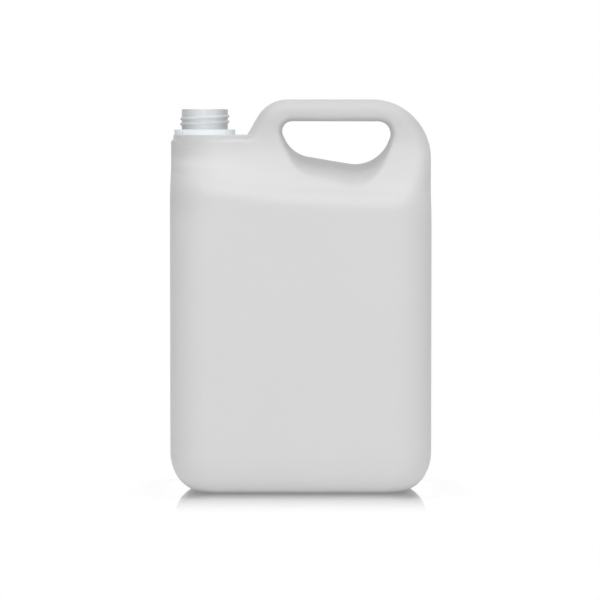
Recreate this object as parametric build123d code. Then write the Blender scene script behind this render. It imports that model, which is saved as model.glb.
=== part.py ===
from build123d import *
from math import acos, asin, atan2, cos, pi, radians, sin, sqrt, tan
import os

os.makedirs("parts", exist_ok=True)

# Overall sizes of the can in millimetres; the base stands on Z = 0 and the front faces -Y
BODY_WIDTH = 196.0
BODY_DEPTH = 122.0
TOTAL_HEIGHT = 294.5
WALL = 1.2

# Rounding at the foot of the walls, and the upright corners in plan
FOOT_ROUND_IN = 25.0
FOOT_ROUND_UP = 31.0
CORNER_RADIUS = 28.0
FOOT_CORNER_RADIUS = 15.5
END_FLAT = 1.0
FOOT_STEP = 10

# Shoulder: the level where it starts, then arcs as (radius, lean from upright where it ends)
SHOULDER_LEVEL = 213.5
SHOULDER_ARCS = ((12.0, 45.0), (36.0, 60.0), (50.0, 34.0), (60.0, 8.0))
LEAN_STEP = 11.3
LEAN_STEP_SPAN = 400.0
LEVEL_GAP = 2.0
SHOULDER_TILT = 4.5
TILT_RISE = (150.0, 200.0)
TILT_FADE = (232.0, 258.0)
LEG_CORNER_RADIUS = 13.0
LEG_CORNER_SPAN = (214.0, 252.0)

# Deck round the neck, and the level where body, handle and deck are joined
DECK_LEVEL = 264.8
DECK_RIM = 2.5
DECK_END_X = -30.0
JOIN_LEVEL = DECK_LEVEL - DECK_RIM
RIM_STEP = 18

# Handle: rounding of the bar's top, the big corner over the right leg, the slope to the neck
BAR_ROUND_IN = 14.0
BAR_ROUND_UP = 10.0
BAR_ROUND_STEPS = 6
LEG_LEVELS = (274.0, 279.5)
BIG_CORNER_RADIUS = 44.0
SLOPE_ANGLE = 60.0
SLOPE_ROUND = 26.0
SLOPE_ROUND_X = -10.0
SLOPE_CORNER_RADIUS = 9.0

# Neck
NECK_X = -72.5
BOSS_RADIUS = 23.9
BOSS_LEG_X = -41.0
BOSS_LEG_RADIUS = 20.0
BOSS_ROOT = 259.8
BOSS_TOP = 267.8
BOSS_RIM = 0.6
COLLAR_RADIUS = 23.0
COLLAR_TOP = 271.8
COLLAR_BREAK = 0.4
RATCHET_DEPTH = 0.8
RATCHET_STEP = 9
RATCHET_SPREAD = 45
RATCHET_CLEAR = 0.05
NECK_ROOT = 0.6
NECK_RADIUS = 17.45
NECK_TOP = 287.2
BORE_RADIUS = 15.4
BORE_RUN = 2.4

# Hand hole on the middle plane: circles (x, z, radius, falls with the floor) in one band
GRIP_CIRCLES = (
    (-6.6, 270.6, 7.4, False),
    (9.65, 274.9, 24.0, True),
    (40.9, 273.0, 27.3, True),
    (58.3, 268.4, 9.5, False),
)
GRIP_DRAFT = 0.04
GRIP_FLOOR_FALL = 0.32
GRIP_REACH = 75.0
GRIP_EDGE_RADIUS = 4.5
GRIP_RIM_TURNS = (0, 20, 40, 58, 74)
GRIP_ARC_STEPS = 9
LEVEL_ROUNDS = 4
REACH_ROUNDS = 30

# Base
RECESS_LENGTH = 112.0
RECESS_WIDTH = 44.0
RECESS_CORNER = 12.0
RECESS_HEIGHT = 2.0
RECESS_TAPER = 45.0
WELD_LENGTH = 96.0
WELD_WIDTH = 1.2
WELD_HEIGHT = 0.8

HALF_WIDTH = BODY_WIDTH / 2
HALF_DEPTH = BODY_DEPTH / 2
BAR_ROUND_LEVEL = TOTAL_HEIGHT - BAR_ROUND_UP
BIG_CORNER_X = HALF_WIDTH - BIG_CORNER_RADIUS
BIG_CORNER_Z = TOTAL_HEIGHT - BIG_CORNER_RADIUS


def ease(value, span):
    """Smooth step from 0 at the start of the span to 1 at its end."""
    t = min(max((value - span[0]) / (span[1] - span[0]), 0.0), 1.0)
    return t * t * (3 - 2 * t)


def shoulder_point(level):
    """Half depth and lean of the front wall at a level above the foot rounding."""
    depth, start, lean = HALF_DEPTH, SHOULDER_LEVEL, 0.0
    if level <= start:
        return depth, lean
    for radius, end_lean in SHOULDER_ARCS:
        end_lean = radians(end_lean)
        turn = 1 if end_lean > lean else -1
        arc_top = start + turn * radius * (sin(end_lean) - sin(lean))
        here = end_lean if level > arc_top else asin(sin(lean) + turn * (level - start) / radius)
        depth -= radius * abs(cos(here) - cos(lean))
        if level <= arc_top:
            return depth, here
        start, lean = arc_top, end_lean
    return depth - (level - start) * tan(lean), lean


def shoulder_levels():
    """Levels up the shoulder, close together where its profile turns fast."""
    levels, lean = [SHOULDER_LEVEL], 0.0
    for radius, end_lean in SHOULDER_ARCS:
        steps = max(2, round(abs(end_lean - lean) / min(LEAN_STEP, LEAN_STEP_SPAN / radius)))
        start = levels[-1]
        for step in range(1, steps + 1):
            here = lean + (end_lean - lean) * step / steps
            levels.append(start + radius * abs(sin(radians(here)) - sin(radians(lean))))
        lean = end_lean
    return levels


def right_end(level, inset):
    """X of the right-hand outline, which rounds over into the handle bar."""
    if level <= BIG_CORNER_Z:
        return HALF_WIDTH - inset
    radius = BIG_CORNER_RADIUS - inset
    rise = min(level - BIG_CORNER_Z, radius)
    return BIG_CORNER_X + sqrt(radius**2 - rise**2)


def slope_end(level, inset):
    """X of the handle's left-hand outline: the slope and the rounding above it."""
    angle = radians(SLOPE_ANGLE)
    radius = SLOPE_ROUND - inset
    centre_z = TOTAL_HEIGHT - SLOPE_ROUND
    touch_x = SLOPE_ROUND_X - radius * sin(angle)
    touch_z = centre_z + radius * cos(angle)
    if level <= touch_z:
        return touch_x - (touch_z - level) / tan(angle)
    rise = min(level - centre_z, radius)
    return SLOPE_ROUND_X - sqrt(radius**2 - rise**2)


def section(level, tilt, left, right, depth, left_radius, right_radius):
    """Closed outline across the can: four straight sides and four corner arcs."""
    left_radius = min(left_radius, depth - END_FLAT)
    right_radius = min(right_radius, depth - END_FLAT)
    angle = radians(tilt)
    left, right = left / cos(angle), right / cos(angle)
    plane = Plane((0, 0, level), x_dir=(cos(angle), 0, -sin(angle)), z_dir=(sin(angle), 0, cos(angle)))
    edges = [
        Edge.make_line((left + left_radius, -depth), (right - right_radius, -depth)),
        corner_arc(right - right_radius, -depth + right_radius, right_radius, 270),
        Edge.make_line((right, -depth + right_radius), (right, depth - right_radius)),
        corner_arc(right - right_radius, depth - right_radius, right_radius, 0),
        Edge.make_line((right - right_radius, depth), (left + left_radius, depth)),
        corner_arc(left + left_radius, depth - left_radius, left_radius, 90),
        Edge.make_line((left, depth - left_radius), (left, -depth + left_radius)),
        corner_arc(left + left_radius, -depth + left_radius, left_radius, 180),
    ]
    return plane * Wire(edges)


def corner_arc(x, y, radius, start_angle):
    """Quarter circle in plan, counterclockwise from the start angle."""
    return Edge.make_circle(radius, Plane((x, y, 0)), start_angle, start_angle + 90)


def foot_sections(inset):
    """Outlines up the rounding at the foot of the walls."""
    wires = []
    for lean in range(-90, 0, FOOT_STEP):
        out, down = cos(radians(lean)), sin(radians(lean))
        shrink = FOOT_ROUND_IN * (1 - out)
        level = FOOT_ROUND_UP * (1 + down) - inset * down
        radius = FOOT_CORNER_RADIUS + (CORNER_RADIUS - FOOT_CORNER_RADIUS) * out - inset
        side = HALF_WIDTH - shrink - inset * out
        depth = HALF_DEPTH - shrink - inset * out
        wires.append(section(level, 0, -side, side, depth, radius, radius))
    return wires


def wall_section(level, inset, left_end):
    """Outline at one level of the walls, the shoulder or the handle's legs."""
    depth, lean = shoulder_point(level)
    depth -= inset * cos(lean)
    tilt = SHOULDER_TILT * (ease(level, TILT_RISE) - ease(level, TILT_FADE))
    right_radius = CORNER_RADIUS + (LEG_CORNER_RADIUS - CORNER_RADIUS) * ease(level, LEG_CORNER_SPAN)
    left_radius = SLOPE_CORNER_RADIUS if left_end is slope_end else CORNER_RADIUS
    level -= inset * sin(lean)
    return section(level, tilt, left_end(level, inset), right_end(level, inset), depth,
                   left_radius - inset, right_radius - inset)


def flat_end(level, inset):
    """X of the upright left-hand side."""
    return -HALF_WIDTH + inset


def body_block(inset):
    """Foot, plain walls and shoulder, up to the level where deck and handle begin."""
    wires = foot_sections(inset)
    levels = [FOOT_ROUND_UP, TILT_RISE[0], TILT_RISE[1]]
    levels += [level for level in shoulder_levels() if level < JOIN_LEVEL - LEVEL_GAP]
    wires += [wall_section(level, inset, flat_end) for level in levels]
    wires.append(wall_section(JOIN_LEVEL, inset, flat_end))
    return Solid.make_loft(wires, ruled=True)


def handle_block(inset):
    """Both legs and the bar, before the hand hole is cut."""
    levels = [level for level in shoulder_levels() if level > JOIN_LEVEL + LEVEL_GAP]
    levels = [JOIN_LEVEL, *levels, *LEG_LEVELS, BAR_ROUND_LEVEL]
    wires = [wall_section(level, inset, slope_end) for level in levels]
    depth = shoulder_point(BAR_ROUND_LEVEL)[0]
    for step in range(1, BAR_ROUND_STEPS + 1):
        angle = pi / 2 * step / BAR_ROUND_STEPS
        level = BAR_ROUND_LEVEL + (BAR_ROUND_UP - inset) * sin(angle)
        half = depth - inset - (BAR_ROUND_IN - inset) * (1 - cos(angle))
        wires.append(section(level, 0, slope_end(level, inset), right_end(level, inset), half,
                             SLOPE_CORNER_RADIUS - inset, LEG_CORNER_RADIUS - inset))
    return Solid.make_loft(wires, ruled=True)


def deck_block(inset):
    """Rounded rim and top of the deck, running into the handle's leg."""
    wires = []
    depth, lean = shoulder_point(JOIN_LEVEL)
    for angle in range(0, 91, RIM_STEP):
        out, up = cos(radians(angle)), sin(radians(angle))
        shrink = DECK_RIM * (1 - out) + inset * out
        level = JOIN_LEVEL + (DECK_RIM - inset) * up
        here = depth - DECK_RIM * up * tan(lean) - shrink
        wires.append(section(level, 0, shrink - HALF_WIDTH, DECK_END_X, here, CORNER_RADIUS, DECK_RIM))
    return Solid.make_loft(wires, ruled=True)


def front_depth(x, z):
    """Half depth of the front wall where it stands above a point of the middle plane."""
    level = z
    for _ in range(LEVEL_ROUNDS):
        level = z + x * tan(radians(SHOULDER_TILT * (ease(level, TILT_RISE) - ease(level, TILT_FADE))))
    return shoulder_point(level)[0]


def grip_outline(reach, inset):
    """Outline of the hand hole at a reach in front of the middle plane, as (x, z, facing angle)."""
    circles = [
        (x, z - reach * GRIP_FLOOR_FALL * falls, radius + reach * GRIP_DRAFT + inset)
        for x, z, radius, falls in GRIP_CIRCLES
    ]
    tangents = []
    for (x1, z1, r1), (x2, z2, r2) in zip(circles, circles[1:] + circles[:1]):
        span = sqrt((x2 - x1) ** 2 + (z2 - z1) ** 2)
        tangents.append(atan2(z2 - z1, x2 - x1) - acos((r1 - r2) / span))
    nodes = []
    for index, (x, z, radius) in enumerate(circles):
        start = tangents[index - 1]
        sweep = (tangents[index] - start) % (2 * pi)
        for step in range(GRIP_ARC_STEPS + 1):
            angle = start + sweep * step / GRIP_ARC_STEPS
            nodes.append((x + radius * cos(angle), z + radius * sin(angle), angle))
    return nodes


def grip_ring(inset, turn):
    """Ring of the hole's rounded rim: at turn 0 it leaves the hole's wall, at 90 it meets the front."""
    radius = GRIP_EDGE_RADIUS - inset
    out, sink = radius * (1 - cos(radians(turn))), inset + radius * (1 - sin(radians(turn)))
    points = []
    for (x1, z1, angle), (x2, z2, _) in zip(grip_outline(0, inset), grip_outline(GRIP_REACH, inset)):
        reach = HALF_DEPTH
        for _ in range(REACH_ROUNDS):
            x = x1 + (x2 - x1) * reach / GRIP_REACH + out * cos(angle)
            z = z1 + (z2 - z1) * reach / GRIP_REACH + out * sin(angle)
            reach = front_depth(x, z) - sink
        points.append((x, -reach, z))
    return points


def grip_half(inset):
    """Front half of the hand hole: it widens, its floor falls away, and its rim is rounded."""
    rings = [[(x, 0, z) for x, z, _ in grip_outline(0, inset)]]
    rings += [grip_ring(inset, turn) for turn in GRIP_RIM_TURNS]
    rings.append([(x, -GRIP_REACH, z) for x, _, z in rings[-1]])
    return Solid.make_loft([Wire.make_polygon(ring, close=True) for ring in rings], ruled=True)


def boss_block(inset):
    """Raised pad that carries the neck and runs into the handle's leg."""
    circles = ((NECK_X, BOSS_RADIUS - inset), (BOSS_LEG_X, BOSS_LEG_RADIUS - inset))
    outline = make_hull([Edge.make_circle(radius, Plane((x, 0, BOSS_ROOT))) for x, radius in circles])
    block = extrude(outline, BOSS_TOP - BOSS_ROOT - inset).solid()
    if inset > 0:
        return block
    return block.fillet(BOSS_RIM, block.faces().sort_by(Axis.Z)[-1].edges())


def base_recess(inset):
    """Shallow hollow under the can, with sloping sides, that lets it stand on a rim."""
    grow = inset * (1 + 1 / sin(radians(RECESS_TAPER)))
    outline = Pos(0, 0, -inset) * RectangleRounded(
        RECESS_LENGTH + 2 * grow, RECESS_WIDTH + 2 * grow, RECESS_CORNER + grow
    )
    return extrude(outline, RECESS_HEIGHT + 2 * inset, taper=RECESS_TAPER).solid()


def can_solid(inset):
    """Whole can without its neck, shrunk by the inset on every face."""
    solid = body_block(inset).fuse(handle_block(inset), deck_block(inset), boss_block(inset))
    grip = grip_half(inset)
    return solid.cut(grip, grip.mirror(Plane.XZ), base_recess(inset))


def neck_solid():
    """Collar, neck and mouth as one turned form, still without the bore."""
    profile = Polyline(
        (0, BOSS_TOP - NECK_ROOT),
        (COLLAR_RADIUS - COLLAR_BREAK, BOSS_TOP - NECK_ROOT),
        (COLLAR_RADIUS, BOSS_TOP - NECK_ROOT + COLLAR_BREAK),
        (COLLAR_RADIUS, COLLAR_TOP - COLLAR_BREAK),
        (COLLAR_RADIUS - COLLAR_BREAK, COLLAR_TOP),
        (NECK_RADIUS, COLLAR_TOP),
        (NECK_RADIUS, NECK_TOP - COLLAR_BREAK),
        (NECK_RADIUS - COLLAR_BREAK, NECK_TOP),
        (0, NECK_TOP),
        close=True,
    )
    return Pos(NECK_X, 0, 0) * revolve(Plane.XZ * make_face(profile), Axis.Z)


def ratchet_gaps():
    """Saw-tooth gaps in the collar's rim, on its left and right, that hold a closure's ring."""
    deep, rim = COLLAR_RADIUS - RATCHET_DEPTH, COLLAR_RADIUS + RATCHET_DEPTH
    gaps = []
    for side in (0, 180):
        for start in range(side - RATCHET_SPREAD, side + RATCHET_SPREAD, RATCHET_STEP):
            end = start + RATCHET_STEP
            corners = ((COLLAR_RADIUS + RATCHET_CLEAR, start), (deep, end), (rim, end), (rim, start))
            points = [(r * cos(radians(a)), r * sin(radians(a))) for r, a in corners]
            outline = Pos(NECK_X, 0, BOSS_TOP) * make_face(Polyline(*points, close=True))
            gaps.append(extrude(outline, COLLAR_TOP - BOSS_TOP + RATCHET_DEPTH).solid())
    return gaps


def pinch_weld():
    """Weld line left along the middle of the base recess."""
    return Pos(0, 0, RECESS_HEIGHT - WELD_HEIGHT) * Box(
        WELD_LENGTH, WELD_WIDTH, WELD_HEIGHT + WALL / 2, align=(Align.CENTER, Align.CENTER, Align.MIN)
    )


def jerrycan_body():
    """The blown can: one wall all round, open only at the mouth."""
    bore = Pos(NECK_X, 0, BOSS_TOP - BORE_RUN) * Cylinder(
        BORE_RADIUS, NECK_TOP - BOSS_TOP + 2 * BORE_RUN, align=(Align.CENTER, Align.CENTER, Align.MIN)
    )
    outer = can_solid(0).fuse(neck_solid().solid()).cut(*ratchet_gaps())
    return outer.cut(can_solid(WALL), bore.solid()).fuse(pinch_weld().solid())


export_step(jerrycan_body(), "parts/jerrycan_body.step")
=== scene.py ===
from math import cos, pi, radians, sin, tan

import bpy
import numpy as np
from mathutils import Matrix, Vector

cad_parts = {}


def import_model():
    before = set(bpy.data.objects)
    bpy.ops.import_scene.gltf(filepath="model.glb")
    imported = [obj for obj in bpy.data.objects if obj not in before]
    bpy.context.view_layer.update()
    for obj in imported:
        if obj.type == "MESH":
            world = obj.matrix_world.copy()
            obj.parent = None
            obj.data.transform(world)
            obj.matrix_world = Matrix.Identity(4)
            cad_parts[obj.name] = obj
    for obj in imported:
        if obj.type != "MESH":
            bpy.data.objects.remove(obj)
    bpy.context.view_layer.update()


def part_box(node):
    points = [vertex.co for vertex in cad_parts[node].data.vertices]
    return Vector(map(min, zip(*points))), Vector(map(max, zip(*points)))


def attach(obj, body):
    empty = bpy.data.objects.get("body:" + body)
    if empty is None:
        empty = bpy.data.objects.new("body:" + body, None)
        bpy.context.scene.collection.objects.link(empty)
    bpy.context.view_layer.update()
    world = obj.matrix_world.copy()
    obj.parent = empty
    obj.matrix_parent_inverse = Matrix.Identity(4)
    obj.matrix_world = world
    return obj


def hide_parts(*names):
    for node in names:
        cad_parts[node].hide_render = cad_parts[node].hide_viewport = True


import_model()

# Everything below is in millimetres until a mesh is made
MM = 0.001
LOW, HIGH = (np.array(corner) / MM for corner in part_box("jerrycan_body"))
HALF_WIDTH = (HIGH[0] - LOW[0]) / 2
HALF_DEPTH = (HIGH[1] - LOW[1]) / 2
HEIGHT = HIGH[2] - LOW[2]
WALL = 1.2

# Foot and corners of the body, and the least flat between the corners of front and back
FOOT_IN = 25.0
FOOT_UP = 31.0
CORNER = 28.0
FOOT_CORNER = 15.5
LEAST_FLAT = 1.0

# Shoulder: start level, and arcs as (radius, lean where it ends)
SHOULDER_LEVEL = 213.0
SHOULDER_ARCS = ((12.0, 45.0), (36.0, 60.0), (50.0, 34.0), (60.0, 8.0))

# Fall of its crease to the right, as slope and bend, and the levels where that sets in and ends
SHOULDER_FALL = (0.075, 0.0005)
LEVEL_ROUNDS = 4
TILT_RISE = (150.0, 200.0)
TILT_FADE = (232.0, 258.0)

# Its crease fades near both ends: distances across, spread of levels, samples as (offset, share)
LEFT_FADE = (62.0, 90.0)
RIGHT_FADE = (66.0, 94.0)
FADE_SPREAD = 15.0
FADE_SAMPLES = ((-1.0, 0.1), (-0.5, 0.24), (0.0, 0.32), (0.5, 0.24), (1.0, 0.1))

# Deck, and the pad on it that carries the neck, with its circles as (x, radius)
DECK_LEVEL = 264.8
DECK_CORNER = 34.0
DECK_TURN = (214.0, 244.0)
DECK_RIM = 2.5
BOSS_CIRCLES = ((-72.5, 23.9), (-41.0, 20.0))
BOSS_ROOT = 259.8
BOSS_TOP = 267.8
BOSS_RIM = 0.7

# Handle: sizes of its outline, roundings of slope, legs and bar, and where these go over
BIG_CORNER = 44.0
SLOPE_ANGLE = 60.0
SLOPE_ROUND = 26.0
SLOPE_ROUND_X = -10.0
HANDLE_FOOT = 200.0
LEG_ROUND = 13.0
SLOPE_EDGE = 9.0
SLOPE_TO_LEG = (-20.0, 50.0)
BAR_IN = 14.0
BAR_UP = 10.0
BAR_TURN = (250.0, 284.0)
LEG_TURN = (214.0, 252.0)

# Hand hole: circles (x, z, radius, falls with the floor) on the middle plane, growth and fall
# for each millimetre outwards, where its outer outline lies, and the rim's rounding at the
# hole's floor and at the bar
GRIP_CIRCLES = (
    (-6.6, 270.6, 7.4, 0),
    (9.65, 274.9, 24.0, 1),
    (40.9, 273.0, 27.3, 1),
    (58.3, 268.4, 9.5, 0),
)
GRIP_DRAFT = 0.04
GRIP_FALL = 0.32
GRIP_REACH = 75.0
GRIP_RIM = (2.0, 4.0)
GRIP_RIM_RISE = (236.0, 268.0)

# Neck: collar with ratchet teeth on both sides, wall, thread, and the mouth's bore
NECK_X = -72.5
COLLAR_RADIUS = 23.0
COLLAR_TOP = 271.8
COLLAR_ROUND = 0.5
COLLAR_SUNK = (1.0, 0.5)
RATCHET_DEPTH = 0.8
RATCHET_STEP = 9.0
RATCHET_SPREAD = 45.0
NECK_RADIUS = 17.45
NECK_ROOT_FLARE = 0.4
NECK_TOP = 287.2
LIP_ROUND = 0.5
BORE_RADIUS = 15.4
BORE_RUN = 6.0
BORE_PAST = 2.0
THREAD_HEIGHT = 1.15
THREAD_PITCH = 4.0
THREAD_LEFT_LEVEL = 275.8
THREAD_TURNS = 3
THREAD_ENDS = (110.0, 800.0)
THREAD_FADE = 22.0
THREAD_FOOT = 1.45
THREAD_CREST = 0.45
THREAD_STEP = 0.3

# Base: recess as length, width, corner radius, height; its rings as (growth, share of the
# height); and how far the floor of the hollow stays raised round it
RECESS = (112.0, 44.0, 12.0, 2.0)
RECESS_RINGS = ((0.8, -0.5), (0.8, 0.0), (0.0, 0.3), (-1.4, 0.7), (-2.2, 1.0))
PLATE_MARGIN = 4.0

# Weld line in the recess: length, width and height, growth of its rings, width by corner radius
WELD = (96.0, 1.2, 0.8)
WELD_GROWTH = (-0.5, 0.0, 0.4)
WELD_ROUNDING = 2.1

# Parting line of the mould round the narrow sides
PARTING_HEIGHT = 0.2
PARTING_WIDTH = 0.45
PARTING_RISE = (8.0, 20.0)

# Grids of the skin and of the hollow, as stretches (start, end, spacing)
SKIN_ACROSS = ((-99.5, 99.5, 1.6),)
SKIN_HALF_DEPTH = ((0.0, 1.2, 0.3), (1.2, 62.4, 1.6))
SKIN_UP = (
    (-1.1, 34.0, 1.5),
    (34.0, 200.0, 5.0),
    (200.0, 258.0, 1.5),
    (258.0, 268.0, 0.9),
    (268.0, 296.5, 1.4),
)
HOLLOW_ACROSS = ((-99.0, 99.0, 3.6),)
HOLLOW_HALF_DEPTH = ((1.8, 63.0, 3.4),)
HOLLOW_UP = ((-2.0, 34.0, 3.0), (34.0, 200.0, 10.0), (200.0, 297.0, 3.0))

# Settling of mesh points on the surface, and points on roundings and rings
SETTLE_ROUNDS = 4
SLOPE_STEP = 0.02
LEAST_SLOPE_SQUARED = 0.05
LONGEST_MOVE = 1.0
ROUND_STEPS = 5
RING_POINTS = 160
NECK_POINTS = 240
RECESS_CORNER_POINTS = 16
WELD_CORNER_POINTS = 6

# Colours (linear) and finish
BODY_LIGHT = (0.70, 0.70, 0.70)
BODY_DARK = (0.68, 0.68, 0.68)
BODY_ROUGHNESS = 0.5
PLASTIC_IOR = 1.5

# Soft clouds in the body's colour, scaled by the metre
CLOUD_SCALE = 14.0
CLOUD_DETAIL = 3.0

# Painted shade: darker towards the top over the handle bar, and in the upper left corner
HANDLE_PAINTED_SHADE = (0.615, 0.615, 0.615)
HANDLE_FADE = (256.0, 276.0)
SHADE_COLOUR = (0.61, 0.61, 0.61)
SHADE_ACROSS = (-62.0, -90.0)
SHADE_UP = (200.0, 230.0)

# Collar and neck: where they begin across, how sharply their tones change upwards, and their
# colours: darker at the sides as painted shade, and lighter in front and behind as a painted
# highlight
NECK_ZONE = (-48.0, -48.5)
ZONE_BLUR = 0.1
COLLAR_SHADED_SIDES = (0.74, 0.78, 0.80)
COLLAR_PAINTED_HIGHLIGHT = (0.88, 0.93, 0.95)
NECK_SHADED_SIDES = (0.52, 0.53, 0.53)
NECK_PAINTED_HIGHLIGHT = (0.74, 0.76, 0.78)
NECK_ROUGHNESS = 0.25

# Fine grain, scaled by the metre, which ends where the collar begins
GRAIN_SCALE = 900.0
GRAIN_DETAIL = 2.0
GRAIN_HEIGHT = 0.2
GRAIN_STRENGTH = 0.12

# Table top, with fades by the distance from the foot's rectangle, and ambient light
WHITE = (1.0, 1.0, 1.0, 1.0)
FLOOR_COLOUR = (0.95, 0.95, 0.95, 1.0)
FLOOR_REACH = 12000.0
FLOOR_LIGHT = 0.15
FOOT_HALF = (72.0, 35.0)
SHADOW_FADE = (12.0, 62.0)
MIRROR_FADE = (25.0, 150.0)
MIRROR_FALL = 1.5
MIRROR_ROUGHNESS = 0.05
WORLD_LIGHT = 0.38
WORLD_LIGHT_SIDEWAYS = 0.14

# Soft boxes as name, place, target, size, power in watts
LIGHTS = (
    ("left", (-1300.0, -1500.0, 650.0), (0.0, 0.0, 130.0), (1000.0, 1200.0), 2.2),
    ("right", (1300.0, -1500.0, 650.0), (0.0, 0.0, 130.0), (1000.0, 1200.0), 3.4),
    ("eye", (-60.0, -3100.0, 330.0), (0.0, 0.0, 200.0), (130.0, 500.0), 6.0),
    ("front", (0.0, -1200.0, 1500.0), (0.0, 0.0, 180.0), (1600.0, 700.0), 8.5),
    ("above", (0.0, 50.0, 1650.0), (0.0, 0.0, 130.0), (1800.0, 1000.0), 9.8),
)

# Camera: picture width and focal length in pixels, place, pitch in degrees, sensor, far limit
IMAGE_SIZE = 600
CAMERA_FOCUS = 3967.7
CAMERA_REACH = 3000.0
CAMERA_LEVEL = 288.6
CAMERA_X = -0.58
CAMERA_PITCH = 2.782
SENSOR_WIDTH = 36.0
CLIP_END = 50000.0


def ease(value, span):
    """Share from 0 to 1 over a span, level at both of its ends."""
    t = np.clip((value - span[0]) / (span[1] - span[0]), 0.0, 1.0)
    return t * t * (3 - 2 * t)


def mix(a, b, t):
    return a + (b - a) * t


def round_max(a, b, radius_a, radius_b=None):
    """Where both fields are below zero, with the edge between their faces rounded."""
    radius_b = radius_a if radius_b is None else radius_b
    u, v = a / radius_a + 1, b / radius_b + 1
    inner = np.minimum(np.maximum(u, v), 0)
    outer = np.hypot(np.maximum(u, 0), np.maximum(v, 0))
    return (inner + outer - 1) * np.minimum(radius_a, radius_b)


def outline_field(u, v, circles):
    """Distance to a convex outline of tangent lines and arcs round circles, counterclockwise."""
    following = circles[1:] + circles[:1]
    normals = []
    for (u1, v1, r1), (u2, v2, r2) in zip(circles, following):
        du, dv = u2 - u1, v2 - v1
        normals.append(np.arctan2(dv, du) - np.arccos((r1 - r2) / np.hypot(du, dv)))
    field = None
    for index, (cu, cv, radius) in enumerate(circles):
        du, dv = u - cu, v - cv
        start, end = normals[index - 1], normals[index]
        line = du * np.cos(end) + dv * np.sin(end) - radius
        turned = (np.arctan2(dv, du) - start) % (2 * pi)
        arc = np.where(turned <= (end - start) % (2 * pi), np.hypot(du, dv) - radius, line)
        here = np.maximum(line, arc)
        field = here if field is None else np.maximum(field, here)
    return field


def shoulder(level):
    """Half depth and lean of the front wall at each level."""
    depth = np.full_like(level, HALF_DEPTH)
    lean = np.zeros_like(level)
    start, begin, drop = SHOULDER_LEVEL, 0.0, HALF_DEPTH
    for radius, end in SHOULDER_ARCS:
        end = radians(end)
        turn = 1 if end > begin else -1
        top = start + turn * radius * (sin(end) - sin(begin))
        here = np.arcsin(np.clip(sin(begin) + turn * (level - start) / radius, -1, 1))
        inside = (level >= start) & (level <= top)
        depth = np.where(inside, drop - radius * np.abs(np.cos(here) - cos(begin)), depth)
        lean = np.where(inside, here, lean)
        drop -= radius * abs(cos(end) - cos(begin))
        start, begin = top, end
    above = level > start
    depth = np.where(above, drop - (level - start) * tan(begin), depth)
    return depth, np.where(above, begin, lean)


def faded_shoulder(level, spread):
    """The shoulder averaged over a spread of levels, so that a wide one fades its crease out."""
    depth, lean = 0.0, 0.0
    for offset, share in FADE_SAMPLES:
        depth_there, lean_there = shoulder(level + offset * spread)
        depth, lean = depth + share * depth_there, lean + share * lean_there
    return depth, lean


def slope_circles():
    """The handle's outline from the front: feet, big corner and the rounding over the slope."""
    angle = radians(SLOPE_ANGLE)
    touch_x = SLOPE_ROUND_X - SLOPE_ROUND * sin(angle)
    touch_z = HEIGHT - SLOPE_ROUND + SLOPE_ROUND * cos(angle)
    foot_x = touch_x - (touch_z - HANDLE_FOOT) / tan(angle)
    return [
        (foot_x, HANDLE_FOOT, 0.0),
        (HALF_WIDTH, HANDLE_FOOT, 0.0),
        (HALF_WIDTH - BIG_CORNER, HEIGHT - BIG_CORNER, BIG_CORNER),
        (SLOPE_ROUND_X, HEIGHT - SLOPE_ROUND, SLOPE_ROUND),
    ]


def can_field(x, y, z):
    """Below zero inside the can's outer skin, without pad and neck."""
    fall, bend = SHOULDER_FALL
    level = z
    for _ in range(LEVEL_ROUNDS):
        tilted = ease(level, TILT_RISE) - ease(level, TILT_FADE)
        level = z + (fall * x - bend * x ** 2) * tilted
    fade = np.maximum(ease(-x, LEFT_FADE), ease(x, RIGHT_FADE))
    depth, lean = faded_shoulder(level, FADE_SPREAD * fade)
    front = (np.abs(y) - depth) * np.cos(lean)
    side = outline_field(x, z, [(-HALF_WIDTH, -HEIGHT, 0.0), (HALF_WIDTH, -HEIGHT, 0.0),
                                (HALF_WIDTH - BIG_CORNER, HEIGHT - BIG_CORNER, BIG_CORNER),
                                (-HALF_WIDTH, HEIGHT, 0.0)])
    foot = np.sqrt(np.clip(1 - (1 - np.clip(z / FOOT_UP, 0, 1)) ** 2, 0, 1))
    corner = mix(FOOT_CORNER + FOOT_IN, CORNER, foot)
    corner = np.where(x > 0, mix(corner, LEG_ROUND, ease(level, LEG_TURN)), corner)
    along = np.where(x < 0, mix(corner, DECK_CORNER, ease(level, DECK_TURN)), corner)
    inward = np.minimum(corner, depth - LEAST_FLAT)
    plan = round_max(side, front, along, inward)
    body = round_max(plan, -z * FOOT_IN / FOOT_UP, FOOT_IN)
    body = round_max(body, z - DECK_LEVEL, DECK_RIM)

    legs = mix(SLOPE_EDGE, inward, ease(x, SLOPE_TO_LEG))
    turn = ease(z, BAR_TURN)
    outline = outline_field(x, z, slope_circles())
    handle = round_max(outline, front, mix(legs, BAR_UP, turn), mix(legs, BAR_IN, turn))
    whole = np.minimum(body, handle)
    middle, end = (
        outline_field(x, z, [
            (cx, cz - falls * GRIP_FALL * reach, radius + GRIP_DRAFT * reach)
            for cx, cz, radius, falls in GRIP_CIRCLES
        ])
        for reach in (0, GRIP_REACH)
    )
    hole = mix(middle, end, np.abs(y) / GRIP_REACH)
    return round_max(whole, -hole, mix(*GRIP_RIM, ease(z, GRIP_RIM_RISE)))


def skin_field(x, y, z):
    """The can's skin, with the fine line that the mould's parting leaves along the middle."""
    ridge = np.exp(-((y / PARTING_WIDTH) ** 2))
    return can_field(x, y, z) + PARTING_HEIGHT * (1 - ridge) * ease(z, PARTING_RISE)


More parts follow.
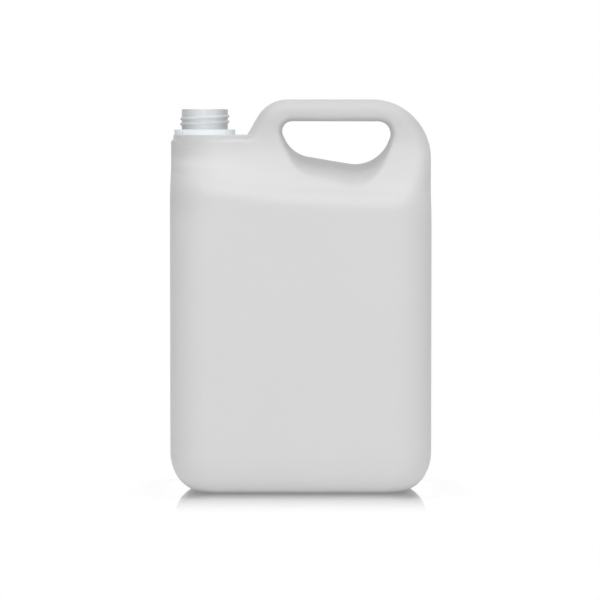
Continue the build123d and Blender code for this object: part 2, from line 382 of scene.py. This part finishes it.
def cavity_field(x, y, z):
    """The hollow inside the walls; its floor rises over the recess in the base."""
    length, width, _, height = RECESS
    plate = np.maximum(np.abs(x) - length / 2, np.abs(y) - width / 2) - PLATE_MARGIN
    return np.maximum(can_field(x, y, z) + WALL, -np.maximum(plate, z - height - WALL))


def net_surface(axes, field):
    """Quads on the zero level of a field, from its values on a grid of any spacing."""
    grid = np.meshgrid(*axes, indexing="ij")
    values = field(*grid)
    shape = values.shape
    cells = np.array(shape) - 1
    owners, points, quads = [], [], []
    for axis in range(3):
        first = np.take(values, range(shape[axis] - 1), axis)
        second = np.take(values, range(1, shape[axis]), axis)
        at = np.nonzero((first < 0) != (second < 0))
        low, high = first[at], second[at]
        share = low / (low - high)
        place = [axes[k][at[k]] for k in range(3)]
        place[axis] = place[axis] + share * (axes[axis][at[axis] + 1] - axes[axis][at[axis]])
        across = [k for k in range(3) if k != axis]
        ring = []
        for step_u, step_v in ((0, 0), (1, 0), (1, 1), (0, 1)):
            index = [np.array(k) for k in at]
            index[across[0]] = index[across[0]] - step_u
            index[across[1]] = index[across[1]] - step_v
            ring.append(np.ravel_multi_index(index, cells, mode="clip"))
            owners.append(ring[-1])
            points.append(np.stack(place, 1))
        ring = np.stack(ring, 1)
        flip = (low < 0) == (axis == 1)
        quads.append(np.where(flip[:, None], ring[:, ::-1], ring))
    owners, points = np.concatenate(owners), np.concatenate(points)
    names, number = np.unique(owners, return_inverse=True)
    count = np.bincount(number)
    places = np.stack([np.bincount(number, points[:, k]) / count for k in range(3)], 1)
    faces = np.searchsorted(names, np.concatenate(quads))
    return places, faces


def settle(points, field):
    """Moves points along the field's slope until they lie on its zero level."""
    for _ in range(SETTLE_ROUNDS):
        value = field(*points.T)
        slope = []
        for axis in range(3):
            shift = np.zeros(3)
            shift[axis] = SLOPE_STEP
            rise = field(*(points + shift).T) - field(*(points - shift).T)
            slope.append(rise / (2 * SLOPE_STEP))
        slope = np.stack(slope, 1)
        squared = np.maximum((slope ** 2).sum(1), LEAST_SLOPE_SQUARED)
        move = -slope * (value / squared)[:, None]
        points = points + np.clip(move, -LONGEST_MOVE, LONGEST_MOVE)
    return points


def make_piece(name, points, faces):
    """New object from points in millimetres."""
    mesh = bpy.data.meshes.new(name)
    corners = [list(map(int, face)) for face in faces]
    mesh.from_pydata((np.asarray(points) * MM).tolist(), [], corners)
    mesh.update()
    piece = bpy.data.objects.new(name, mesh)
    bpy.context.scene.collection.objects.link(piece)
    return piece


def spaced(*stretches):
    """One list of levels from stretches given as (start, end, spacing)."""
    parts = []
    for start, end, spacing in stretches:
        count = max(1, round((end - start) / spacing))
        parts.append(np.linspace(start, end, count, endpoint=False))
    return np.append(np.concatenate(parts), stretches[-1][1])


def mirrored(levels):
    return np.unique(np.concatenate([-levels, levels]))


def field_piece(name, field, across, half_depth, up):
    """Surface of a field, on a grid of stretches that is mirrored front to back."""
    axes = (spaced(*across), mirrored(spaced(*half_depth)), spaced(*up))
    points, faces = net_surface(axes, field)
    return make_piece(name, settle(points, field), faces)


def outer_skin():
    return field_piece("jerrycan_skin", skin_field, SKIN_ACROSS, SKIN_HALF_DEPTH, SKIN_UP)


def cavity():
    return field_piece("cavity", cavity_field, HOLLOW_ACROSS, HOLLOW_HALF_DEPTH, HOLLOW_UP)


def stack(name, rings):
    """Closed mesh through rings of points, each ring counterclockwise seen from above."""
    count = len(rings[0])
    faces = [list(range(count))[::-1]]
    for level in range(len(rings) - 1):
        base = level * count
        for k in range(count):
            after = (k + 1) % count
            faces.append((base + k, base + after, base + count + after, base + count + k))
    faces.append(range((len(rings) - 1) * count, len(rings) * count))
    return make_piece(name, np.concatenate(rings), faces)


def quarter_round(radius):
    """Steps of a rounding over an edge, as (how far in, how far down) from the sharp corner."""
    return [(radius * (1 - cos(turn)), radius * (1 - sin(turn)))
            for turn in np.linspace(0, pi / 2, ROUND_STEPS)]


def hull_ring(circles, inset, level):
    """Ring round circles (x, radius) on the middle plane, as a tight band lies."""
    angle = np.linspace(0, 2 * pi, RING_POINTS, endpoint=False)
    reach = np.array([x * np.cos(angle) + radius for x, radius in circles])
    at = reach.argmax(0)
    x, radius = np.array(circles)[at].T
    return np.stack([x + (radius - inset) * np.cos(angle), (radius - inset) * np.sin(angle),
                     np.full(RING_POINTS, level)], 1)


def boss():
    """Pad under the neck, with its rim rounded."""
    rings = [hull_ring(BOSS_CIRCLES, PARTING_HEIGHT, BOSS_ROOT)]
    for inward, down in quarter_round(BOSS_RIM):
        rings.append(hull_ring(BOSS_CIRCLES, PARTING_HEIGHT + inward, BOSS_TOP - down))
    return stack("boss", rings)


def thread_height(angle, level):
    """Height of the thread over the neck's wall at each angle (degrees) and level."""
    height = np.zeros_like(angle)
    for turn in range(THREAD_TURNS):
        along = angle + 360 * turn
        centre = THREAD_LEFT_LEVEL + THREAD_PITCH * (along - 180) / 360
        away = np.abs(level - centre)
        rise = 1 - ease(away, (THREAD_CREST, THREAD_FOOT))
        start, end = THREAD_ENDS
        fade_in = ease(along, (start, start + THREAD_FADE))
        fade_out = 1 - ease(along, (end - THREAD_FADE, end))
        height = np.maximum(height, THREAD_HEIGHT * rise * (fade_in * fade_out))
    return height


def ratchet_depth(angle):
    """Depth of the saw teeth cut in the collar round its left and right sides."""
    off_side = (angle + 90) % 180 - 90
    tooth = (off_side / RATCHET_STEP) % 1
    return np.where(np.abs(off_side) < RATCHET_SPREAD, RATCHET_DEPTH * tooth, 0.0)


def neck_ring(angle, radius, level):
    """Ring round the neck's axis at angles in degrees, with one radius or one for each."""
    turn = np.radians(angle)
    radius = np.broadcast_to(radius, angle.shape)
    return np.stack([NECK_X + radius * np.cos(turn), radius * np.sin(turn),
                     np.full(angle.shape, level)], 1)


def neck():
    """Collar, threaded wall and lip as one turned form without its bore."""
    angle = np.linspace(0, 360, NECK_POINTS, endpoint=False)
    collar = COLLAR_RADIUS - ratchet_depth(angle)
    sizes = [
        (COLLAR_RADIUS - RATCHET_DEPTH - COLLAR_ROUND, BOSS_TOP - COLLAR_SUNK[0]),
        (collar, BOSS_TOP - COLLAR_SUNK[1]),
    ]
    sizes += [(collar - inward, COLLAR_TOP - down) for inward, down in quarter_round(COLLAR_ROUND)]
    sizes.append((NECK_RADIUS + NECK_ROOT_FLARE, COLLAR_TOP))
    for level in np.arange(COLLAR_TOP + THREAD_STEP, NECK_TOP - LIP_ROUND, THREAD_STEP):
        sizes.append((NECK_RADIUS + thread_height(angle, level), level))
    sizes += [(NECK_RADIUS - inward, NECK_TOP - down) for inward, down in quarter_round(LIP_ROUND)]
    return stack("neck", [neck_ring(angle, radius, level) for radius, level in sizes])


def bore():
    """Way through the neck, with its upper edge rounded over."""
    angle = np.linspace(0, 360, RING_POINTS, endpoint=False)
    sizes = [(BORE_RADIUS, BOSS_TOP - BORE_RUN)]
    sizes += [(BORE_RADIUS + out, NECK_TOP - down) for out, down in quarter_round(LIP_ROUND)]
    sizes.append((BORE_RADIUS + LIP_ROUND, NECK_TOP + BORE_PAST))
    return stack("bore", [neck_ring(angle, radius, level) for radius, level in sizes])


def rounded_ring(length, width, radius, level, count):
    """Rectangle with round corners at one level."""
    points = []
    for quarter, (side_x, side_y) in enumerate(((1, 1), (-1, 1), (-1, -1), (1, -1))):
        for angle in np.linspace(0, pi / 2, count) + quarter * pi / 2:
            points.append((side_x * (length / 2 - radius) + radius * cos(angle),
                           side_y * (width / 2 - radius) + radius * sin(angle), level))
    return np.array(points)


def recess():
    """Shallow hollow in the underside, with sloping walls."""
    length, width, radius, height = RECESS
    return stack("recess", [
        rounded_ring(length + 2 * grow, width + 2 * grow, radius + grow, share * height,
                     RECESS_CORNER_POINTS)
        for grow, share in RECESS_RINGS
    ])


def weld():
    """Raised line that the closing of the mould leaves in the recess."""
    length, width, height = WELD
    top = RECESS[3]
    levels = (top - height, top - height / 2, top + WALL / 2)
    return stack("weld", [
        rounded_ring(length + grow, width + grow, (width + grow) / WELD_ROUNDING, level,
                     WELD_CORNER_POINTS)
        for grow, level in zip(WELD_GROWTH, levels)
    ])


def combine(piece, other, operation):
    """Adds or cuts the other closed mesh, and removes it."""
    modifier = piece.modifiers.new(operation, "BOOLEAN")
    modifier.operation = operation
    modifier.solver = "MANIFOLD"
    modifier.object = other
    shown = bpy.context.evaluated_depsgraph_get()
    shown.update()
    mesh = bpy.data.meshes.new_from_object(piece.evaluated_get(shown))
    piece.modifiers.clear()
    old = piece.data
    piece.data = mesh
    bpy.data.meshes.remove(old)
    bpy.data.objects.remove(other)


def jerrycan():
    piece = outer_skin()
    combine(piece, boss(), "UNION")
    combine(piece, neck(), "UNION")
    combine(piece, recess(), "DIFFERENCE")
    combine(piece, cavity(), "DIFFERENCE")
    combine(piece, bore(), "DIFFERENCE")
    combine(piece, weld(), "UNION")
    piece.data.name = piece.name
    piece.data.shade_smooth()
    return piece


piece = jerrycan()
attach(piece, "root")
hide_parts("jerrycan_body")


def new_material(name):
    material = bpy.data.materials.new(name)
    material.use_nodes = True
    nodes = material.node_tree.nodes
    return material, nodes, material.node_tree.links, nodes["Principled BSDF"]


def add_node(nodes, kind, **values):
    """New node with its properties set, and its inputs where the name is one of them."""
    node = nodes.new(kind)
    for key, value in values.items():
        if key in node.inputs:
            node.inputs[key].default_value = value
        else:
            setattr(node, key, value)
    return node


def hdpe():
    """Natural blown plastic, matt grey-white, glossier neck, with painted shade and highlights."""
    material, nodes, links, shader = new_material("hdpe")
    place = add_node(nodes, "ShaderNodeTexCoord")
    split = add_node(nodes, "ShaderNodeSeparateXYZ")
    links.new(place.outputs["Object"], split.inputs[0])

    def span(axis, start, end):
        """From 0 to 1 between two places along an axis."""
        ramp = add_node(nodes, "ShaderNodeMapRange", **{
            "From Min": start * MM, "From Max": end * MM})
        links.new(split.outputs[axis], ramp.inputs["Value"])
        return ramp.outputs[0]

    def blend(share, first, second):
        """Colour that goes from the first to the second, each a colour or an output."""
        node = add_node(nodes, "ShaderNodeMix", data_type="RGBA")
        sockets = [socket for socket in node.inputs if socket.type == "RGBA"]
        for socket, value in zip(sockets, (first, second)):
            if isinstance(value, tuple):
                socket.default_value = (*value, 1)
            else:
                links.new(value, socket)
        links.new(share, node.inputs["Factor"])
        return next(output for output in node.outputs if output.type == "RGBA")

    def product(first, second):
        node = add_node(nodes, "ShaderNodeMath", operation="MULTIPLY")
        links.new(first, node.inputs[0])
        links.new(second, node.inputs[1])
        return node.outputs[0]

    cloud = add_node(nodes, "ShaderNodeTexNoise", Scale=CLOUD_SCALE, Detail=CLOUD_DETAIL)
    links.new(place.outputs["Object"], cloud.inputs["Vector"])
    body = blend(cloud.outputs[0], BODY_DARK, BODY_LIGHT)
    # Painted shade: the colour darkens towards the top over the handle bar, and in the upper left
    # corner
    body = blend(span("Z", *HANDLE_FADE), body, HANDLE_PAINTED_SHADE)
    body = blend(product(span("X", *SHADE_ACROSS), span("Z", *SHADE_UP)), body, SHADE_COLOUR)
    by_neck = span("X", *NECK_ZONE)
    on_collar = product(by_neck, span("Z", BOSS_TOP - ZONE_BLUR, BOSS_TOP + ZONE_BLUR))
    on_wall = product(by_neck, span("Z", COLLAR_TOP - ZONE_BLUR, COLLAR_TOP + ZONE_BLUR))
    # Painted highlight on the front and back of neck and collar, painted shade on their sides
    painted_highlight_share = add_node(nodes, "ShaderNodeMapRange", **{
        "From Max": (NECK_RADIUS * MM) ** 2})
    links.new(product(split.outputs["Y"], split.outputs["Y"]), painted_highlight_share.inputs["Value"])
    neck_wall = blend(painted_highlight_share.outputs[0], NECK_SHADED_SIDES, NECK_PAINTED_HIGHLIGHT)
    collar = blend(painted_highlight_share.outputs[0], COLLAR_SHADED_SIDES, COLLAR_PAINTED_HIGHLIGHT)
    colour = blend(on_wall, blend(on_collar, body, collar), neck_wall)
    links.new(colour, shader.inputs["Base Color"])
    rough = add_node(nodes, "ShaderNodeMapRange", **{
        "To Min": BODY_ROUGHNESS, "To Max": NECK_ROUGHNESS})
    links.new(on_collar, rough.inputs["Value"])
    links.new(rough.outputs[0], shader.inputs["Roughness"])

    grain = add_node(nodes, "ShaderNodeTexNoise", Scale=GRAIN_SCALE, Detail=GRAIN_DETAIL)
    links.new(place.outputs["Object"], grain.inputs["Vector"])
    bump = add_node(nodes, "ShaderNodeBump", Distance=GRAIN_HEIGHT * MM)
    strength = add_node(nodes, "ShaderNodeMapRange", **{"To Min": GRAIN_STRENGTH, "To Max": 0.0})
    links.new(on_collar, strength.inputs["Value"])
    links.new(strength.outputs[0], bump.inputs["Strength"])
    links.new(grain.outputs[0], bump.inputs["Height"])
    links.new(bump.outputs[0], shader.inputs["Normal"])
    shader.inputs["IOR"].default_value = PLASTIC_IOR
    return material


def floor_material():
    """White table top, where shadow and mirror image fade into the white round the can."""
    material, nodes, links, shader = new_material("floor")
    shader.inputs["Base Color"].default_value = FLOOR_COLOUR
    shader.inputs["Roughness"].default_value = 1.0
    shader.inputs["Emission Color"].default_value = WHITE
    shader.inputs["Emission Strength"].default_value = FLOOR_LIGHT
    shadow = add_node(nodes, "ShaderNodeBsdfDiffuse", Color=FLOOR_COLOUR)
    white = add_node(nodes, "ShaderNodeEmission", Strength=1.0)
    mirror = add_node(nodes, "ShaderNodeBsdfAnisotropic", Roughness=MIRROR_ROUGHNESS, Color=WHITE)

    def vector(operation, first, second=None):
        node = add_node(nodes, "ShaderNodeVectorMath", operation=operation)
        links.new(first, node.inputs[0])
        if second:
            node.inputs[1].default_value = second
        return node.outputs

    def blend(share, first, second):
        node = add_node(nodes, "ShaderNodeMixShader")
        for socket, value in zip(node.inputs, (share, first, second)):
            links.new(value, socket)
        return node.outputs[0]

    place = add_node(nodes, "ShaderNodeTexCoord").outputs["Object"]
    foot = (FOOT_HALF[0] * MM, FOOT_HALF[1] * MM, 0.0)
    outside = vector("SUBTRACT", vector("ABSOLUTE", place)[0], foot)[0]
    outside = vector("MAXIMUM", outside, (0.0, 0.0, 0.0))[0]
    reach = vector("LENGTH", outside)["Value"]
    lit = add_node(nodes, "ShaderNodeMapRange", interpolation_type="SMOOTHSTEP", **{
        "From Min": SHADOW_FADE[0] * MM, "From Max": SHADOW_FADE[1] * MM})
    links.new(reach, lit.inputs["Value"])
    left = add_node(nodes, "ShaderNodeMapRange", **{
        "From Min": MIRROR_FADE[1] * MM, "From Max": MIRROR_FADE[0] * MM})
    links.new(reach, left.inputs["Value"])
    share = add_node(nodes, "ShaderNodeMath", operation="POWER")
    share.inputs[1].default_value = MIRROR_FALL
    links.new(left.outputs[0], share.inputs[0])
    seen = blend(lit.outputs[0], shadow.outputs[0], white.outputs[0])
    seen = blend(share.outputs[0], seen, mirror.outputs[0])
    ray = add_node(nodes, "ShaderNodeLightPath")
    surface = blend(ray.outputs["Is Camera Ray"], shader.outputs[0], seen)
    links.new(surface, nodes["Material Output"].inputs["Surface"])
    return material


def stage():
    """Floor under the can, far larger than the picture."""
    reach = FLOOR_REACH
    corners = [(-reach, -reach, 0), (reach, -reach, 0), (reach, reach, 0), (-reach, reach, 0)]
    floor = make_piece("floor", corners, [(0, 1, 2, 3)])
    floor.data.materials.append(floor_material())


def world():
    """Ambient light, weaker from the sides, in front of a background that is seen as white."""
    scene = bpy.context.scene
    scene.world = bpy.data.worlds.new("studio")
    scene.world.use_nodes = True
    nodes, links = scene.world.node_tree.nodes, scene.world.node_tree.links
    background = nodes["Background"]
    ray = add_node(nodes, "ShaderNodeLightPath")
    shown = add_node(nodes, "ShaderNodeMath", operation="MAXIMUM")
    links.new(ray.outputs["Is Camera Ray"], shown.inputs[0])
    links.new(ray.outputs["Is Glossy Ray"], shown.inputs[1])
    seen = add_node(nodes, "ShaderNodeMapRange", **{"To Max": 1.0})
    links.new(shown.outputs[0], seen.inputs["Value"])
    split = add_node(nodes, "ShaderNodeSeparateXYZ")
    links.new(add_node(nodes, "ShaderNodeTexCoord").outputs["Generated"], split.inputs[0])
    sideways = add_node(nodes, "ShaderNodeMath", operation="MULTIPLY")
    links.new(split.outputs["X"], sideways.inputs[0])
    links.new(split.outputs["X"], sideways.inputs[1])
    ambient = add_node(nodes, "ShaderNodeMapRange", **{
        "To Min": WORLD_LIGHT, "To Max": WORLD_LIGHT_SIDEWAYS})
    links.new(sideways.outputs[0], ambient.inputs["Value"])
    links.new(ambient.outputs[0], seen.inputs["To Min"])
    links.new(seen.outputs[0], background.inputs["Strength"])
    background.inputs["Color"].default_value = WHITE


def soft_light(name, place, target, size, power):
    """Rectangular soft box at a place, turned to a target."""
    data = bpy.data.lights.new(name, "AREA")
    data.shape = "RECTANGLE"
    data.size, data.size_y = (length * MM for length in size)
    data.energy = power
    lamp = bpy.data.objects.new(name, data)
    bpy.context.scene.collection.objects.link(lamp)
    lamp.location = Vector(place) * MM
    lamp.rotation_euler = (Vector(target) - Vector(place)).to_track_quat("-Z", "Y").to_euler()


def camera():
    data = bpy.data.cameras.new("camera")
    data.sensor_width = SENSOR_WIDTH
    data.lens = CAMERA_FOCUS / IMAGE_SIZE * data.sensor_width
    data.clip_end = CLIP_END * MM
    eye = bpy.data.objects.new("camera", data)
    bpy.context.scene.collection.objects.link(eye)
    eye.location = Vector((CAMERA_X, -CAMERA_REACH, CAMERA_LEVEL)) * MM
    eye.rotation_euler = (radians(90 - CAMERA_PITCH), 0, 0)
    bpy.context.scene.camera = eye


piece.data.materials.clear()
piece.data.materials.append(hdpe())
stage()
world()
for light in LIGHTS:
    soft_light(*light)
camera()
bpy.context.scene.view_settings.view_transform = "Standard"
